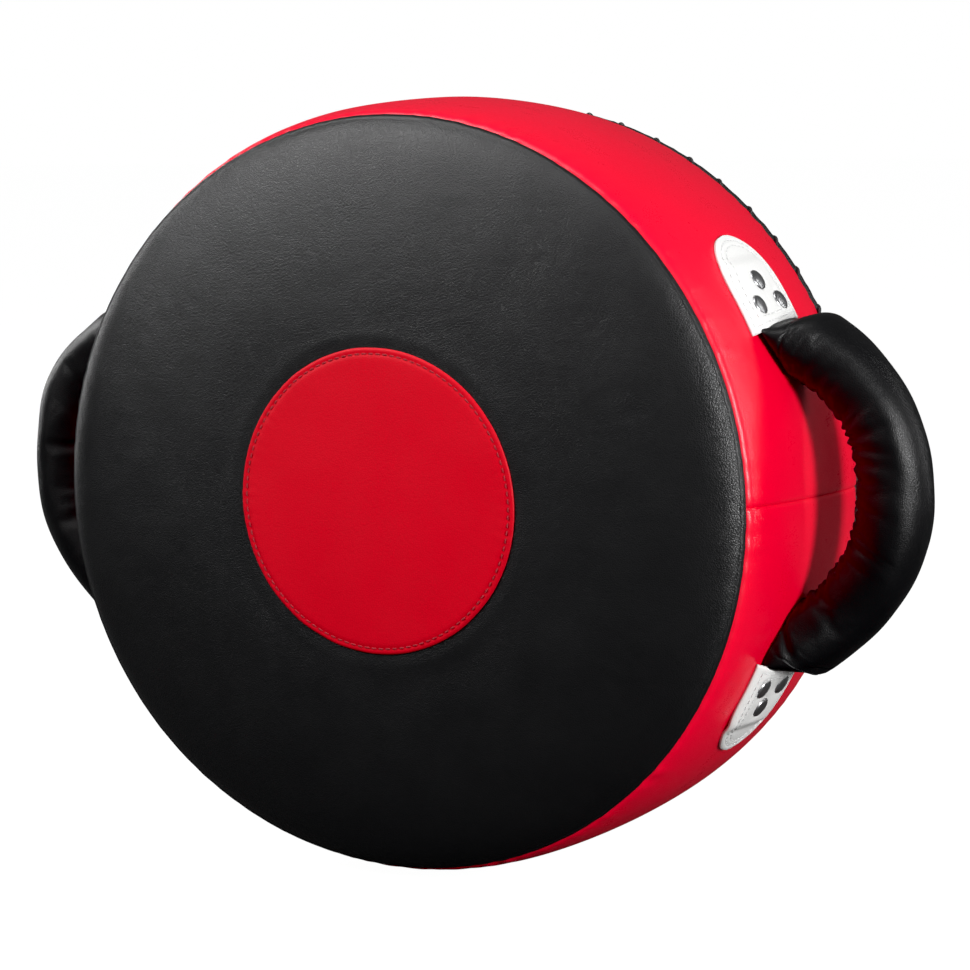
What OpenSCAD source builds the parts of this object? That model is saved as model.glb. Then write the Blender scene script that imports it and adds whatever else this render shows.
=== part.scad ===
// Round padded strike shield with a crowned face, a laced back edge and two side handles.
// The shield axis runs along y: the flat back face lies at y = 0 and the front faces -y.
// z is up, and the right handle is on the +x side.

/* [Body] */
// radius of the front seam of the shield, mm
seam_radius = 203; // [180:1:240]
// width of the side band between its two seams, mm
band_width = 154; // [130:1:180]
// amount the side band swells outward at mid width, mm
band_bulge = 7; // [5:0.5:9]
// height of the crowned face above the front seam, mm
crown_height = 28; // [24:0.5:34]
// radius of the red target disc, mm
target_radius = 81.5; // [50:0.5:120]
// thickness of the cover leather, mm
leather = 2; // [1.6:0.1:2.4]
// thickness of the firm foam layer at the back, mm
firm_layer = 42; // [30:1:48]
// depth of the front edge of the middle foam layer above the back face, mm
core_front = 133; // [126:1:140]

/* [Lacing] */
// number of lacing turns around the back edge
lace_turns = 56; // [40:1:64]
// diameter of the lacing cord, mm
lace_cord = 2.4; // [1.8:0.1:2.6]
// slant of each lacing turn, degrees
lace_slant = 26; // [10:1:28]

/* [Handles] */
// distance of the handle plane in front of the back face, mm
handle_depth = 82; // [76:1:88]
// diameter of the padded grip, mm
grip_diameter = 38.6; // [34:0.2:40]
// distance from the shield axis to the outermost grip centre line, mm
grip_reach = 252.3; // [248:0.1:264]
// bend radius of the grip centre line, mm
grip_bend = 86.3; // [82:0.1:90]
// largest swing of a handle to either side, degrees
swing_limit = 30; // [10:1:30]

/* [Anchors] */
// polar angle where the upper patches end at the handle, degrees
upper_start = 24; // [23.5:0.1:25]
// polar angle where the lower patches end at the handle, degrees
lower_start = 26.2; // [25:0.1:27]
// width of each white patch, mm
patch_width = 64; // [58:1:66]
// length of each white patch, mm
patch_length = 58; // [54:1:60]
// distance the patches sit forward of the handle plane, mm
patch_shift = 6; // [3:0.5:8]
// diameter of a rivet cap, mm
rivet_cap = 11.8; // [10:0.2:12.4]
// width of the strap end under a patch, mm
tab_width = 38; // [36:1:40]

/* [Part shown] */
// node to build

/* [Hidden] */
$fn = 96;

black = [0.09, 0.09, 0.1];
red = [0.82, 0.05, 0.14];
dark_red = [0.68, 0.03, 0.1];
white = [0.93, 0.93, 0.92];
steel = [0.78, 0.78, 0.8];
cream = [0.86, 0.82, 0.68];
grey = [0.5, 0.5, 0.52];
tan = [0.55, 0.42, 0.28];

// values of side and end
right = 1;
left = -1;
upper = 1;
lower = -1;

gap = 0.1;
back_seam = 4;
front_seam = back_seam + band_width;
band_taper = 5.5; // radius lost from the front seam to the back seam
face_power = 2.5; // superellipse exponent along the radius

// rounded back rim: radius and depth of its centre, and its fillet
rim_radius = seam_radius - band_taper - 4.5;
rim_depth = 7.4;
rim_fillet = 4.4;

// ---------- profiles ----------
// every profile point is [radius, depth], depth measured forward of the flat back face

function reversed(points) = [for (i = [len(points) - 1:-1:0]) points[i]];
// closed outline between two lines that run the same way
function between(line, other) = concat(line, reversed(other));

// the crowned face is a superellipse from the seam to the apex
function face_depth(radius) =
    front_seam + crown_height * sqrt(max(0, 1 - pow(radius / seam_radius, face_power)));
// line offset from the face along its normal, starting at parameter angle from
function face_line(offset, from = 0) = [
    for (i = [0:24]) let (
        angle = from + (90 - from) * i / 24,
        radius = seam_radius * pow(max(0, cos(angle)), 2 / face_power),
        height = crown_height * sin(angle),
        slope = [
            face_power * pow(radius / seam_radius, face_power - 1) / seam_radius,
            2 * height / pow(crown_height, 2)
        ],
        step = offset * slope / norm(slope)
    )
    [i == 24 ? 0 : radius + step[0], front_seam + height + step[1]]
];

// share of the bulge reached at part u of the way from front seam to back seam
function bulge_at(u) = pow(max(0, 4 * u * (1 - u)), u < 0.5 ? 0.6 : 0.85);
function band_radius(depth) =
    let (u = (front_seam - depth) / band_width)
    seam_radius - band_taper * u + band_bulge * bulge_at(u);
function band_span(from, to, offset, steps) = [
    for (i = [0:steps]) let (depth = from + (to - from) * i / steps)
    [band_radius(depth) + offset, depth]
];
// strip along the band between two offsets, level = [low, high]
function strip(middle, width, level, steps) = between(
    band_span(middle - width / 2, middle + width / 2, level[0], steps),
    band_span(middle - width / 2, middle + width / 2, level[1], steps));
function rim_arc(from, to, offset, steps = 4) = [
    for (i = [0:steps]) let (angle = from + (to - from) * i / steps)
    [rim_radius, rim_depth] + (rim_fillet + offset) * [cos(angle), sin(angle)]
];
function band_line(offset) = concat(
    rim_arc(-42, -6, offset),
    band_span(9.5, front_seam - 1, offset, 24),
    [[seam_radius + offset, front_seam - gap]]);

// profile turned about the shield axis; angles run from +x up towards +z
module turned(points, from = 0, sweep = 360) {
    rotate([90, 0, 0])
        rotate_extrude(angle = sweep, start = from)
            polygon(points);
}

// ---------- places of the handle anchors ----------
// rivet rows: [arc distance past the patch end, depth forward of the handle plane]
upper_rivets = [[13, 23], [12, -4], [26.2, 9.4]];
lower_rivets = [[13.2, 25], [13.2, 0.5], [26.2, 14]];
anchor_radius = 209; // radius at which arc distances are measured
rivet_hole_radius = 2.15;

function rivets_of(end) = end > 0 ? upper_rivets : lower_rivets;
function start_of(end) = end > 0 ? upper_start : lower_start;
function arc_degrees(distance) = distance / anchor_radius * 180 / PI;
// start of a sweep that is measured upward for upper ends and downward for lower ends
function sweep_start(end, from, sweep) = end > 0 ? from : -from - sweep;
// depth of the middle of each strap end
function tab_depth(end) = handle_depth + (end > 0 ? 9.5 : 12.5);

module on_side(side) {
    mirror([side > 0 ? 0 : 1, 0, 0]) children();
}
// puts children at each rivet of a right-hand end, z pointing out from the band surface
module at_rivets(end) {
    for (place = rivets_of(end)) {
        depth = handle_depth + place[1];
        translate([0, -depth, 0])
            rotate([0, 90 - end * (start_of(end) + arc_degrees(place[0])), 0])
                translate([0, 0, band_radius(depth)])
                    children();
    }
}
module rivet_hole(bottom, height) {
    translate([0, 0, bottom]) cylinder(h = height, r = rivet_hole_radius, $fn = 24);
}
module rivet_holes(end, bottom, height = 14) {
    at_rivets(end) rivet_hole(bottom, height);
}

// ---------- covers ----------
module face_panel() {
    color(black) turned(between(face_line(0), face_line(-leather)));
}

target_thickness = 1.6;
target_edge = 0.8; // inward slope of the disc edge
module target_disc() {
    steps = 8;
    radii = [for (i = [0:steps]) target_radius * i / steps];
    bottom = [for (radius = radii) [radius, face_depth(radius) + gap]];
    top = [for (i = [0:steps])
        [radii[i] - (i == steps ? target_edge : 0), bottom[i][1] + target_thickness]];
    color(dark_red) turned(between(bottom, top));
}

module band_half(end) {
    margin = 0.05; // degrees left free at each end of the half
    from = end > 0 ? 0 : 180;
    color(red) difference() {
        turned(between(band_line(0), band_line(-leather)), from + margin, 180 - 2 * margin);
        for (side = [right, left])
            on_side(side) rivet_holes(end, bottom = -12, height = 20);
    }
}
module side_band_upper() { band_half(upper); }
module side_band_lower() { band_half(lower); }

module back_panel() {
    back = concat([[0, 0], [rim_radius - 9, 0]], rim_arc(-80, -45, 0));
    inner = concat([[0, leather], [rim_radius - 9.6, leather]], rim_arc(-80, -45, -leather));
    color(black) turned(between(back, inner));
}

lace_sweep = 104;
lace_phase = 0.15; // part of a turn the first lace is shifted by
module edge_lacing() {
    reach = rim_fillet + lace_cord / 2 + 0.8;
    color(black) for (i = [0:lace_turns - 1])
        rotate([0, -(i + lace_phase) * 360 / lace_turns, 0])
            translate([rim_radius, -rim_depth, 0])
                rotate([0, 0, 45])
                    rotate([lace_slant, 0, 0])
                        rotate_extrude(angle = lace_sweep, start = -lace_sweep / 2)
                            translate([reach, 0]) circle(r = lace_cord / 2, $fn = 20);
}

// ---------- foam ----------
foam_skin = leather + 1.8; // distance of the foam inside the cover surface
foam_gap = 0.3;
firm_front = firm_layer + 4;

module foam_strike_layer() {
    color(cream) turned(concat(
        [[0, core_front]],
        band_span(core_front, front_seam - 1, -foam_skin - 0.5, 14),
        face_line(-foam_skin, from = 14)));
}

// pockets in the core leave room behind the strap ends
pocket_border = 3;
pocket_level = [-11.5, 2];
pocket_lead = 0.4; // degrees before the patch end
pocket_sweep = 13.8;
module foam_core_layer() {
    back = firm_front + foam_gap;
    front = core_front - foam_gap;
    color(grey) difference() {
        turned(concat([[0, back]], band_span(back, front, -foam_skin, 14), [[0, front]]));
        for (side = [right, left], end = [upper, lower])
            on_side(side)
                turned(strip(tab_depth(end), tab_width + 2 * pocket_border, pocket_level, 4),
                    sweep_start(end, start_of(end) - pocket_lead, pocket_sweep),
                    pocket_sweep);
    }
}

module foam_firm_layer() {
    color(cream) turned(concat(
        [[0, foam_skin], [rim_radius - 10, foam_skin]],
        rim_arc(-78, -6, -foam_skin, 5),
        band_span(10, firm_front, -foam_skin, 8),
        [[0, firm_front]]));
}

// ---------- handle anchors ----------
tab_thickness = 2.4;
tab_arc = [1, 34];
tab_level = [gap, gap + tab_thickness];
patch_depth = handle_depth + patch_shift;
backing_thickness = 2;

// curved plate along the band: arc = [from, to] past the patch end, level = [low, high]
module band_plate(end, arc, middle, width, level) {
    from = start_of(end) + arc_degrees(arc[0]);
    sweep = arc_degrees(arc[1] - arc[0]);
    turned(strip(middle, width, level, 6), sweep_start(end, from, sweep), sweep);
}

// block with the arched patch outline, straight at the handle and round at the far end
module arch_block(end) {
    radius = patch_width / 2;
    centre = patch_length - radius - 1.5;
    overrun = 2; // extra length at the straight end
    translate([0, -patch_depth, 0])
        rotate([0, -end * start_of(end), 0])
            translate([170, 0, 0])
                rotate([end > 0 ? 0 : 180, 0, 0])
                    rotate([90, 0, 90])
                        linear_extrude(height = 70)
                            union() {
                                translate([-radius, -overrun])
                                    square([2 * radius, centre + overrun]);
                                translate([0, centre]) circle(r = radius, $fn = 64);
                            }
}

// leather patch with a raised part that houses the strap end
module patch(side, end) {
    color(white) on_side(side) difference() {
        intersection() {
            union() {
                band_plate(end, [0, patch_length + 4], patch_depth, patch_width + 4,
                    [gap, gap + leather]);
                band_plate(end, [0, 37], tab_depth(end), tab_width + 5,
                    [gap, 2 * gap + tab_thickness + leather]);
            }
            arch_block(end);
        }
        band_plate(end, [-3, tab_arc[1] + 0.3], tab_depth(end), tab_width + 0.6,
            [-2, tab_level[1] + gap]);
        rivet_holes(end, bottom = -4);
    }
}

module strap_end(side, end) {
    color(tan) on_side(side) difference() {
        band_plate(end, tab_arc, tab_depth(end), tab_width, tab_level);
        rivet_holes(end, bottom = -4);
    }
}

// plate inside the band, behind the strap end
module backing(side, end) {
    top = -leather - gap;
    color(grey) on_side(side) difference() {
        band_plate(end, [2, 38], tab_depth(end), tab_width + 2, [top - backing_thickness, top]);
        rivet_holes(end, bottom = -8);
    }
}

cap_height = 2.2;
cap_radius = rivet_cap / 2;
cap_sphere = (pow(cap_radius, 2) + pow(cap_height, 2)) / (2 * cap_height);
cap_seat = leather + tab_thickness + 3 * gap + 0.3; // underside of the cap
shank_bottom = -6.2;

// domed cap, shank and wider foot
module rivets(side, end) {
    color(steel) on_side(side) at_rivets(end) {
        intersection() {
            translate([0, 0, cap_seat + cap_height - cap_sphere])
                sphere(r = cap_sphere, $fn = 48);
            translate([0, 0, cap_seat])
                cylinder(h = cap_height + 1, r = cap_radius + 1, $fn = 48);
        }
        // the shank reaches slightly into the cap
        translate([0, 0, shank_bottom])
            cylinder(h = cap_seat - shank_bottom + 0.1, r = 2, $fn = 24);
        translate([0, 0, -7]) cylinder(h = 1, r = 3.2, $fn = 32);
    }
}

module washers(side, end) {
    color(steel) on_side(side) at_rivets(end) translate([0, 0, -5.4])
        difference() {
            cylinder(h = 0.9, r = 4.8, $fn = 32);
            rivet_hole(bottom = -1, height = 3);
        }
}

// ---------- handles ----------
// the centre line is an arc about [bend_x, 0] with a straight leg to each root, in [x, z]
grip_radius = grip_diameter / 2;
bend_x = grip_reach - grip_bend;
bend_half = 56; // half angle of the arc
root = [187.5, 86.5];
hinge_x = 191;

function bend_point(angle, offset = 0) =
    [bend_x, 0] + (grip_bend + offset) * [cos(angle), sin(angle)];

leg_start = bend_point(bend_half - 1.5);
leg_run = root - leg_start;

// part is how far the form runs down each leg, 1 being all the way to the root
module leg(end, start_radius, root_radius, part) {
    translate([leg_start[0], 0, end * leg_start[1]])
        rotate([0, atan2(leg_run[0], end * leg_run[1]), 0])
            cylinder(h = norm(leg_run) * part, r1 = start_radius,
                r2 = start_radius + (root_radius - start_radius) * part);
}
module grip_form(radius, root_radius, part) {
    translate([0, -handle_depth, 0]) {
        translate([bend_x, 0, 0])
            rotate([90, 0, 0])
                rotate_extrude(angle = 2 * bend_half, start = -bend_half)
                    translate([grip_bend, 0]) circle(r = radius);
        for (end = [upper, lower])
            leg(end, radius - 0.25, root_radius, part);
    }
}

web_width = 25;
web_thickness = 4;
web_run = root - bend_point(bend_half);
web_normal = [web_run[1], -web_run[0]] / norm(web_run);

// centre line of the webbing in the handle plane, offset sideways
function web_line(offset) =
    let (tip = root + offset * web_normal)
    concat(
        [[tip[0], -tip[1]]],
        [for (i = [0:18]) bend_point(-bend_half + 2 * bend_half * i / 18, offset)],
        [tip]);
module webbing_form(extra = 0) {
    width = web_width + extra;
    half = (web_thickness + extra) / 2;
    translate([0, -handle_depth + width / 2, 0])
        rotate([90, 0, 0])
            linear_extrude(height = width)
                polygon(between(web_line(half), web_line(-half)));
}
module webbing_slot() { webbing_form(extra = 0.2); }

// room taken by the band and the anchors, with the handle straight and swung each way
module keep_out(clearance) {
    sweep = 24;
    inner_radius = 190;
    height = 120;
    for (turn = [-1, 0, 1])
        translate([hinge_x, -handle_depth, 0])
            rotate([0, 0, turn * (swing_limit + 1)])
                translate([-hinge_x, handle_depth, 0]) {
                    rotate([90, 0, 0])
                        cylinder(h = 240, r = band_radius(front_seam * 0.55) + clearance);
                    for (end = [upper, lower])
                        translate([0, -handle_depth, 0])
                            rotate([90, 0, 0])
                                translate([0, 0, -height / 2])
                                    rotate_extrude(angle = sweep,
                                        start = sweep_start(end, start_of(end) - 0.6, sweep))
                                        translate([inner_radius, 0]) square([
                                            band_radius(handle_depth) + 9.6 - inner_radius,
                                            height]);
                }
}

module handle_cover(side) {
    color(black) on_side(side) difference() {
        grip_form(grip_radius, root_radius = 12, part = 1);
        grip_form(grip_radius - leather, root_radius = 9.4, part = 0.2);
        webbing_slot();
        keep_out(1.4);
    }
}
module handle_padding(side) {
    color(cream) on_side(side) difference() {
        grip_form(grip_radius - leather - gap, root_radius = 9.3, part = 0.08);
        webbing_slot();
    }
}
module handle_strap(side) {
    color(tan) on_side(side) difference() {
        webbing_form();
        keep_out(1.3);
    }
}

face_panel();
target_disc();
side_band_upper();
side_band_lower();
back_panel();
edge_lacing();
foam_strike_layer();
foam_core_layer();
foam_firm_layer();
patch(right, upper);  // patch_right_upper
patch(right, lower);  // patch_right_lower
patch(left, upper);  // patch_left_upper
patch(left, lower);  // patch_left_lower
strap_end(right, upper);  // strap_end_right_upper
strap_end(right, lower);  // strap_end_right_lower
strap_end(left, upper);  // strap_end_left_upper
strap_end(left, lower);  // strap_end_left_lower
backing(right, upper);  // backing_right_upper
backing(right, lower);  // backing_right_lower
backing(left, upper);  // backing_left_upper
backing(left, lower);  // backing_left_lower
rivets(right, upper);  // rivets_right_upper
rivets(right, lower);  // rivets_right_lower
rivets(left, upper);  // rivets_left_upper
rivets(left, lower);  // rivets_left_lower
washers(right, upper);  // washers_right_upper
washers(right, lower);  // washers_right_lower
washers(left, upper);  // washers_left_upper
washers(left, lower);  // washers_left_lower
handle_cover(right);  // handle_right_cover
handle_padding(right);  // handle_right_padding
handle_strap(right);  // handle_right_strap
handle_cover(left);  // handle_left_cover
handle_padding(left);  // handle_left_padding
handle_strap(left);  // handle_left_strap
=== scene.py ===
"""A round leather strike shield: domed black face with a red target disc, red side band laced
to a black back, and a padded handle on the left and right, sewn down under white patches.

The shield's axis is the Y axis. Its back lies at y = 0 and its face looks along -Y; +X is right
and +Z up. Shapes are worked out in mm as radius and angle about the axis (0 at +X, turning
towards +Z) and depth, the distance from the back plane towards the face."""
import bmesh, bpy, math
import numpy as np
from mathutils import Matrix, Vector
from mathutils.bvhtree import BVHTree


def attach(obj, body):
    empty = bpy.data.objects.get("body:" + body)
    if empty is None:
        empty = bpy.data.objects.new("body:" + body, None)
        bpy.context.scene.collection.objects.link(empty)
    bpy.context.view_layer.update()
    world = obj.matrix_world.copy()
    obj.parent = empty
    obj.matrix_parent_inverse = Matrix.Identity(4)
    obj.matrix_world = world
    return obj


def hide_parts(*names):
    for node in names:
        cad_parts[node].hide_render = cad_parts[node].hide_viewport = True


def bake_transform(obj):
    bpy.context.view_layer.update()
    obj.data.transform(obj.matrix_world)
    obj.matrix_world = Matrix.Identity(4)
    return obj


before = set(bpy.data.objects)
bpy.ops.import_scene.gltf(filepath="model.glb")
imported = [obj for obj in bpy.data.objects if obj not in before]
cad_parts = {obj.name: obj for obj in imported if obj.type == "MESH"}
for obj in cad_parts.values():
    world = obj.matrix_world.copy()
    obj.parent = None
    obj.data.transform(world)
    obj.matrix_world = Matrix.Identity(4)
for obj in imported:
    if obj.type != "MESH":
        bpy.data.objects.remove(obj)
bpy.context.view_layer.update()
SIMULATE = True
MM = 0.001

# ---------------------------------------------------------------- sizes, mm
SEAM_R = 203.0              # seam between face and band
BAND_W = 154.0
BAND_TAPER = 5.5            # the band's back edge is this much smaller in radius
BAND_MID_R = 209.0          # turns lengths along the band into angles
BULGE = 7.0
CROWN = 28.0                # rise of the face above its seam
TARGET_R = 81.5
BACK_D = 4.0
RIM_D = 6.0                 # depth of the band's back edge
FRONT_D = BACK_D + BAND_W
HANDLE_D = 82.0             # depth of the handles' middle plane
GRIP_R = 19.3

# The handles' centre line is a superellipse
HANDLE_X = 1.4              # its middle
HANDLE_REACH = 252.3        # its outermost x
HANDLE_HALF_HEIGHT = 118.0
HANDLE_POWER = 2.29

# The upper (1) and lower (-1) ends of each handle
END_ANGLE = {1: 24.0, -1: 26.2}         # degrees from the X axis
PATCH_W = {1: 65.0, -1: 62.5}
PATCH_L = {1: 56.5, -1: 59.2}
PATCH_FORWARD = {1: 5.5, -1: 6.5}       # the patches sit forward of the handle plane
STRAP_FORWARD = {1: 9.5, -1: 12.5}      # so do the strap ends under them
# [distance past the handle end, distance forward of the handle plane]
RIVETS = {1: [(13.0, 23.0), (12.0, -4.0), (26.2, 9.4)],
          -1: [(13.2, 25.0), (13.2, 0.5), (26.2, 14.0)]}
# [distance in from the patch's edge, depth the thread pulls the leather down]
PATCH_STITCH_ROWS = [(3.6, 0.32), (7.0, 0.28)]
SIDE_NAME = {1: "right", -1: "left"}
END_NAME = {1: "upper", -1: "lower"}


# ---------------------------------------------------------------- curves
def clip01(x):
    return np.clip(x, 0, 1)


def smooth01(x):
    x = clip01(x)
    return x * x * (3 - 2 * x)


def bell(x, width, power=2):
    """1 at x = 0, falling away on both sides."""
    return np.exp(-(x / width) ** power)


def fade(x, length):
    """1 up to x = 0, then dying away."""
    return np.exp(-np.clip(x, 0, None) / length)


def around(count):
    return np.linspace(0, 2 * np.pi, count, endpoint=False)


def angle_from(angle, centre):
    """Signed angle from a centre given in radians, between -pi and pi."""
    return np.angle(np.exp(1j * (np.asarray(angle, float) - centre)))


def arc_length(path):
    steps = np.linalg.norm(np.diff(path, axis=0), axis=1)
    return np.concatenate([[0], np.cumsum(steps)])


def along(path, arc, places):
    """Coordinates, one row each, of places given by their distance along a path."""
    return np.array([np.interp(places, arc, column) for column in path.T])


def round_off(path, passes):
    for _ in range(passes):
        path[1:-1] = (path[:-2] + 2 * path[1:-1] + path[2:]) / 4


# ---------------------------------------------------------------- smooth seeded noise
class Wobble:
    """A sum of seeded waves in angle and depth, about -1 to 1, periodic in angle."""

    def __init__(self, seed, turns, per_mm, count=14):
        draw = np.random.default_rng(seed)
        self.turns = draw.integers(turns[0], turns[1] + 1, count)
        self.per_mm = draw.uniform(*per_mm, count) * draw.choice([-1, 1], count)
        self.phase = draw.uniform(0, 2 * np.pi, count)
        self.size = draw.uniform(0.5, 1, count)
        self.size /= np.sqrt((self.size ** 2).sum() / 2) * 1.6

    def __call__(self, angle, depth):
        total = 0
        for turns, per_mm, phase, size in zip(self.turns, self.per_mm, self.phase, self.size):
            total = total + size * np.sin(turns * angle + per_mm * depth + phase)
        return total


def plain_noise(x, z, seed, shortest, longest):
    """Smooth seeded noise in the plane of the panels; wavelengths in mm."""
    draw = np.random.default_rng(seed)
    count = 16
    total = 0
    for _ in range(count):
        wave = 2 * np.pi / draw.uniform(shortest, longest)
        heading = draw.uniform(0, 2 * np.pi)
        run = x * np.cos(heading) + z * np.sin(heading)
        total = total + np.sin(wave * run + draw.uniform(0, 2 * np.pi))
    return total / np.sqrt(count / 2) / 1.6


broad_wobble = Wobble(seed=3, turns=(2, 7), per_mm=(0.005, 0.03))
front_pucker = Wobble(seed=5, turns=(60, 150), per_mm=(0.01, 0.05), count=22)
back_pucker = Wobble(seed=6, turns=(70, 170), per_mm=(0.01, 0.05), count=22)
soft_wobble = Wobble(seed=8, turns=(9, 26), per_mm=(0.02, 0.06))


# ---------------------------------------------------------------- shape of the body
def across_band(depth):
    """0 at the band's front edge, 1 at its back edge."""
    return (FRONT_D - depth) / BAND_W


def band_r(depth):
    """Nominal radius of the band, fuller towards its front."""
    across = across_band(depth)
    hump = np.clip(4 * across * (1 - across), 0, None)
    hump = np.where(across < 0.5, hump ** 0.6, hump ** 0.85)
    return SEAM_R - BAND_TAPER * across + BULGE * hump


def give(angle):
    """The shield has stood on its lower edge, which has settled a little."""
    bottom = angle_from(angle, -(np.pi / 2 + 0.12))
    left = angle_from(angle, np.radians(205))
    return -2.1 * bell(bottom, 0.62) + 0.5 * bell(left, 0.6)


def rim_give(angle):
    """The same at the back edge, which also lies further in at the upper right."""
    return give(angle) - 1.5 * bell(angle_from(angle, np.radians(48)), 0.75)


def black_give(angle):
    """The laced black edge is tucked in further where the shield has stood on it."""
    lower_right = angle_from(angle, -np.radians(52))
    return rim_give(angle) - 0.7 - 3.0 * bell(lower_right, 0.72, power=4)


def band_surface(angle, depth):
    """Radius of the finished red leather."""
    across = across_band(depth)
    settled = give(angle)
    radius = band_r(depth) - 0.3 + settled
    radius = radius + (rim_give(angle) - settled) * smooth01((across - 0.3) / 0.7)
    # a fuller stretch at the upper left
    full = bell(angle_from(angle, np.radians(122)), 0.32)
    radius = radius + 4.0 * full * clip01(across / 0.25) * clip01((1 - across) / 0.5)
    radius = radius + 0.35 * broad_wobble(angle, depth) * np.sin(np.pi * clip01(across))
    # puckers that die away from the two sewn edges
    radius = radius + 0.30 * fade(FRONT_D - depth, 9.0) * front_pucker(angle, depth)
    radius = radius + 0.34 * fade(depth - BACK_D, 8.0) * back_pucker(angle, depth)
    middle = clip01(1 - 2 * np.abs(across - 0.5))
    return radius + 0.12 * soft_wobble(angle, depth) * middle


def cylinder(radius, angle, depth):
    """Points in mm at a radius, angle and depth."""
    y = -np.asarray(depth) * np.ones_like(radius * angle)
    return np.stack([radius * np.cos(angle), y, radius * np.sin(angle)], -1)


# ---------------------------------------------------------------- mesh helpers
def shade_smooth(mesh):
    mesh.polygons.foreach_set("use_smooth", [True] * len(mesh.polygons))


def new_object(name, verts, faces):
    mesh = bpy.data.meshes.new(name)
    mesh.from_pydata((verts * MM).tolist(), [], faces)
    mesh.validate()
    mesh.update()
    shade_smooth(mesh)
    piece = bpy.data.objects.new(name, mesh)
    bpy.context.scene.collection.objects.link(piece)
    return piece


def grid_faces(rows, columns, closed=False, base=0):
    """Quads of a grid stored row by row; a closed one joins its last column to its first."""
    i, j = np.meshgrid(np.arange(rows - 1), np.arange(columns if closed else columns - 1),
                       indexing="ij")
    i_next, j_next = i + 1, (j + 1) % columns
    corners = [i * columns + j, i_next * columns + j,
               i_next * columns + j_next, i * columns + j_next]
    return (base + np.stack(corners, -1).reshape(-1, 4)).tolist()


def turned_grid(profile, columns):
    """Radius, angle and second value of a profile carried round the axis."""
    radius, angle = np.meshgrid(profile[:, 0], around(columns), indexing="ij")
    return radius, angle, np.repeat(profile[:, 1][:, None], columns, 1)


def hoop(first, second, sides):
    """Points round the origin, spanned by two vectors."""
    turn = around(sides)[:, None]
    return np.cos(turn) * first + np.sin(turn) * second


def capped(rings, first_hub, last_hub, flip=False):
    """Verts and faces of a skin over rings of points, closed by a fan at each end."""
    count, sides = rings.shape[:2]
    verts = np.vstack([rings.reshape(-1, 3), first_hub, last_hub])
    quads = grid_faces(count, sides, closed=True)
    pairs = [(j, (j + 1) % sides) for j in range(sides)]
    if flip:
        pairs = [(k, j) for j, k in pairs]
    else:
        quads = [quad[::-1] for quad in quads]
    hub, last = count * sides, (count - 1) * sides
    fans = [[hub, j, k] for j, k in pairs] + [[hub + 1, last + k, last + j] for j, k in pairs]
    return verts, quads + fans


def join_parts(parts):
    all_verts, all_faces, base = [], [], 0
    for verts, faces in parts:
        all_verts.append(verts)
        all_faces += [[i + base for i in face] for face in faces]
        base += len(verts)
    return np.vstack(all_verts), all_faces


def vert_places(mesh):
    """Vertex positions in mm."""
    places = np.zeros(len(mesh.vertices) * 3)
    mesh.vertices.foreach_get("co", places)
    return places.reshape(-1, 3) / MM


def align_normals(piece):
    bm = bmesh.new()
    bm.from_mesh(piece.data)
    bmesh.ops.recalc_face_normals(bm, faces=bm.faces)
    bm.to_mesh(piece.data)
    bm.free()
    shade_smooth(piece.data)
    piece.data.update()


def face_outward(piece, centre):
    """Turns the faces outward from a point (mm) inside the piece."""
    normals = np.zeros(len(piece.data.vertices) * 3)
    piece.data.update()
    piece.data.vertex_normals.foreach_get("vector", normals)
    outward = (vert_places(piece.data) - np.array(centre)) * normals.reshape(-1, 3)
    if outward.sum(1).mean() < 0:
        piece.data.flip_normals()


def inflate(piece, pin, pressure, cap, frames, shrink, tension=12.0, bend=0.6):
    """Inflates a cover with cloth, holds its pinned points, and keeps the move within cap mm."""
    if not SIMULATE:
        return
    before = vert_places(piece.data)
    group = piece.vertex_groups.new(name="sewn")
    for i in np.nonzero(pin > 0.001)[0]:
        group.add([int(i)], float(pin[i]), "REPLACE")
    cloth = piece.modifiers.new("Cloth", "CLOTH")
    settings = cloth.settings
    settings.quality = 3
    settings.mass = 0.25
    settings.tension_stiffness = settings.compression_stiffness = tension
    settings.shear_stiffness = tension * 0.6
    settings.bending_stiffness = bend
    settings.air_damping = 3
    settings.use_pressure = True
    settings.uniform_pressure_force = pressure
    settings.shrink_min = shrink
    settings.vertex_group_mass = "sewn"
    settings.effector_weights.gravity = 0
    cloth.collision_settings.use_collision = False
    scene = bpy.context.scene
    for number in range(1, frames + 1):
        scene.frame_set(number)
    evaluated = piece.evaluated_get(bpy.context.evaluated_depsgraph_get())
    move = vert_places(evaluated.data) - before
    piece.modifiers.remove(cloth)
    piece.vertex_groups.remove(group)
    scene.frame_set(1)
    length = np.linalg.norm(move, axis=1, keepdims=True)
    move = move * np.tanh(length / cap) * cap / np.maximum(length, 1e-9)
    after = (before + np.nan_to_num(move)) * MM
    piece.data.vertices.foreach_set("co", after.astype(np.float32).ravel())
    piece.data.update()


def thicken(piece, thickness):
    """Turns a surface into a closed leather sheet, grown inward, with the modifier applied."""
    solid = piece.modifiers.new("Solid", "SOLIDIFY")
    solid.thickness = thickness * MM
    solid.offset = -1
    solid.use_even_offset = False
    evaluated = piece.evaluated_get(bpy.context.evaluated_depsgraph_get())
    mesh = bpy.data.meshes.new_from_object(evaluated)
    old = piece.data
    piece.modifiers.clear()
    piece.data = mesh
    mesh.name = piece.name
    bpy.data.meshes.remove(old)


# ---------------------------------------------------------------- laying things on a surface
def tree_of(*pieces):
    verts, faces, base = [], [], 0
    for piece in pieces:
        verts += [vert.co.copy() for vert in piece.data.vertices]
        faces += [[base + i for i in face.vertices] for face in piece.data.polygons]
        base = len(verts)
    return BVHTree.FromPolygons(verts, faces)


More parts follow.
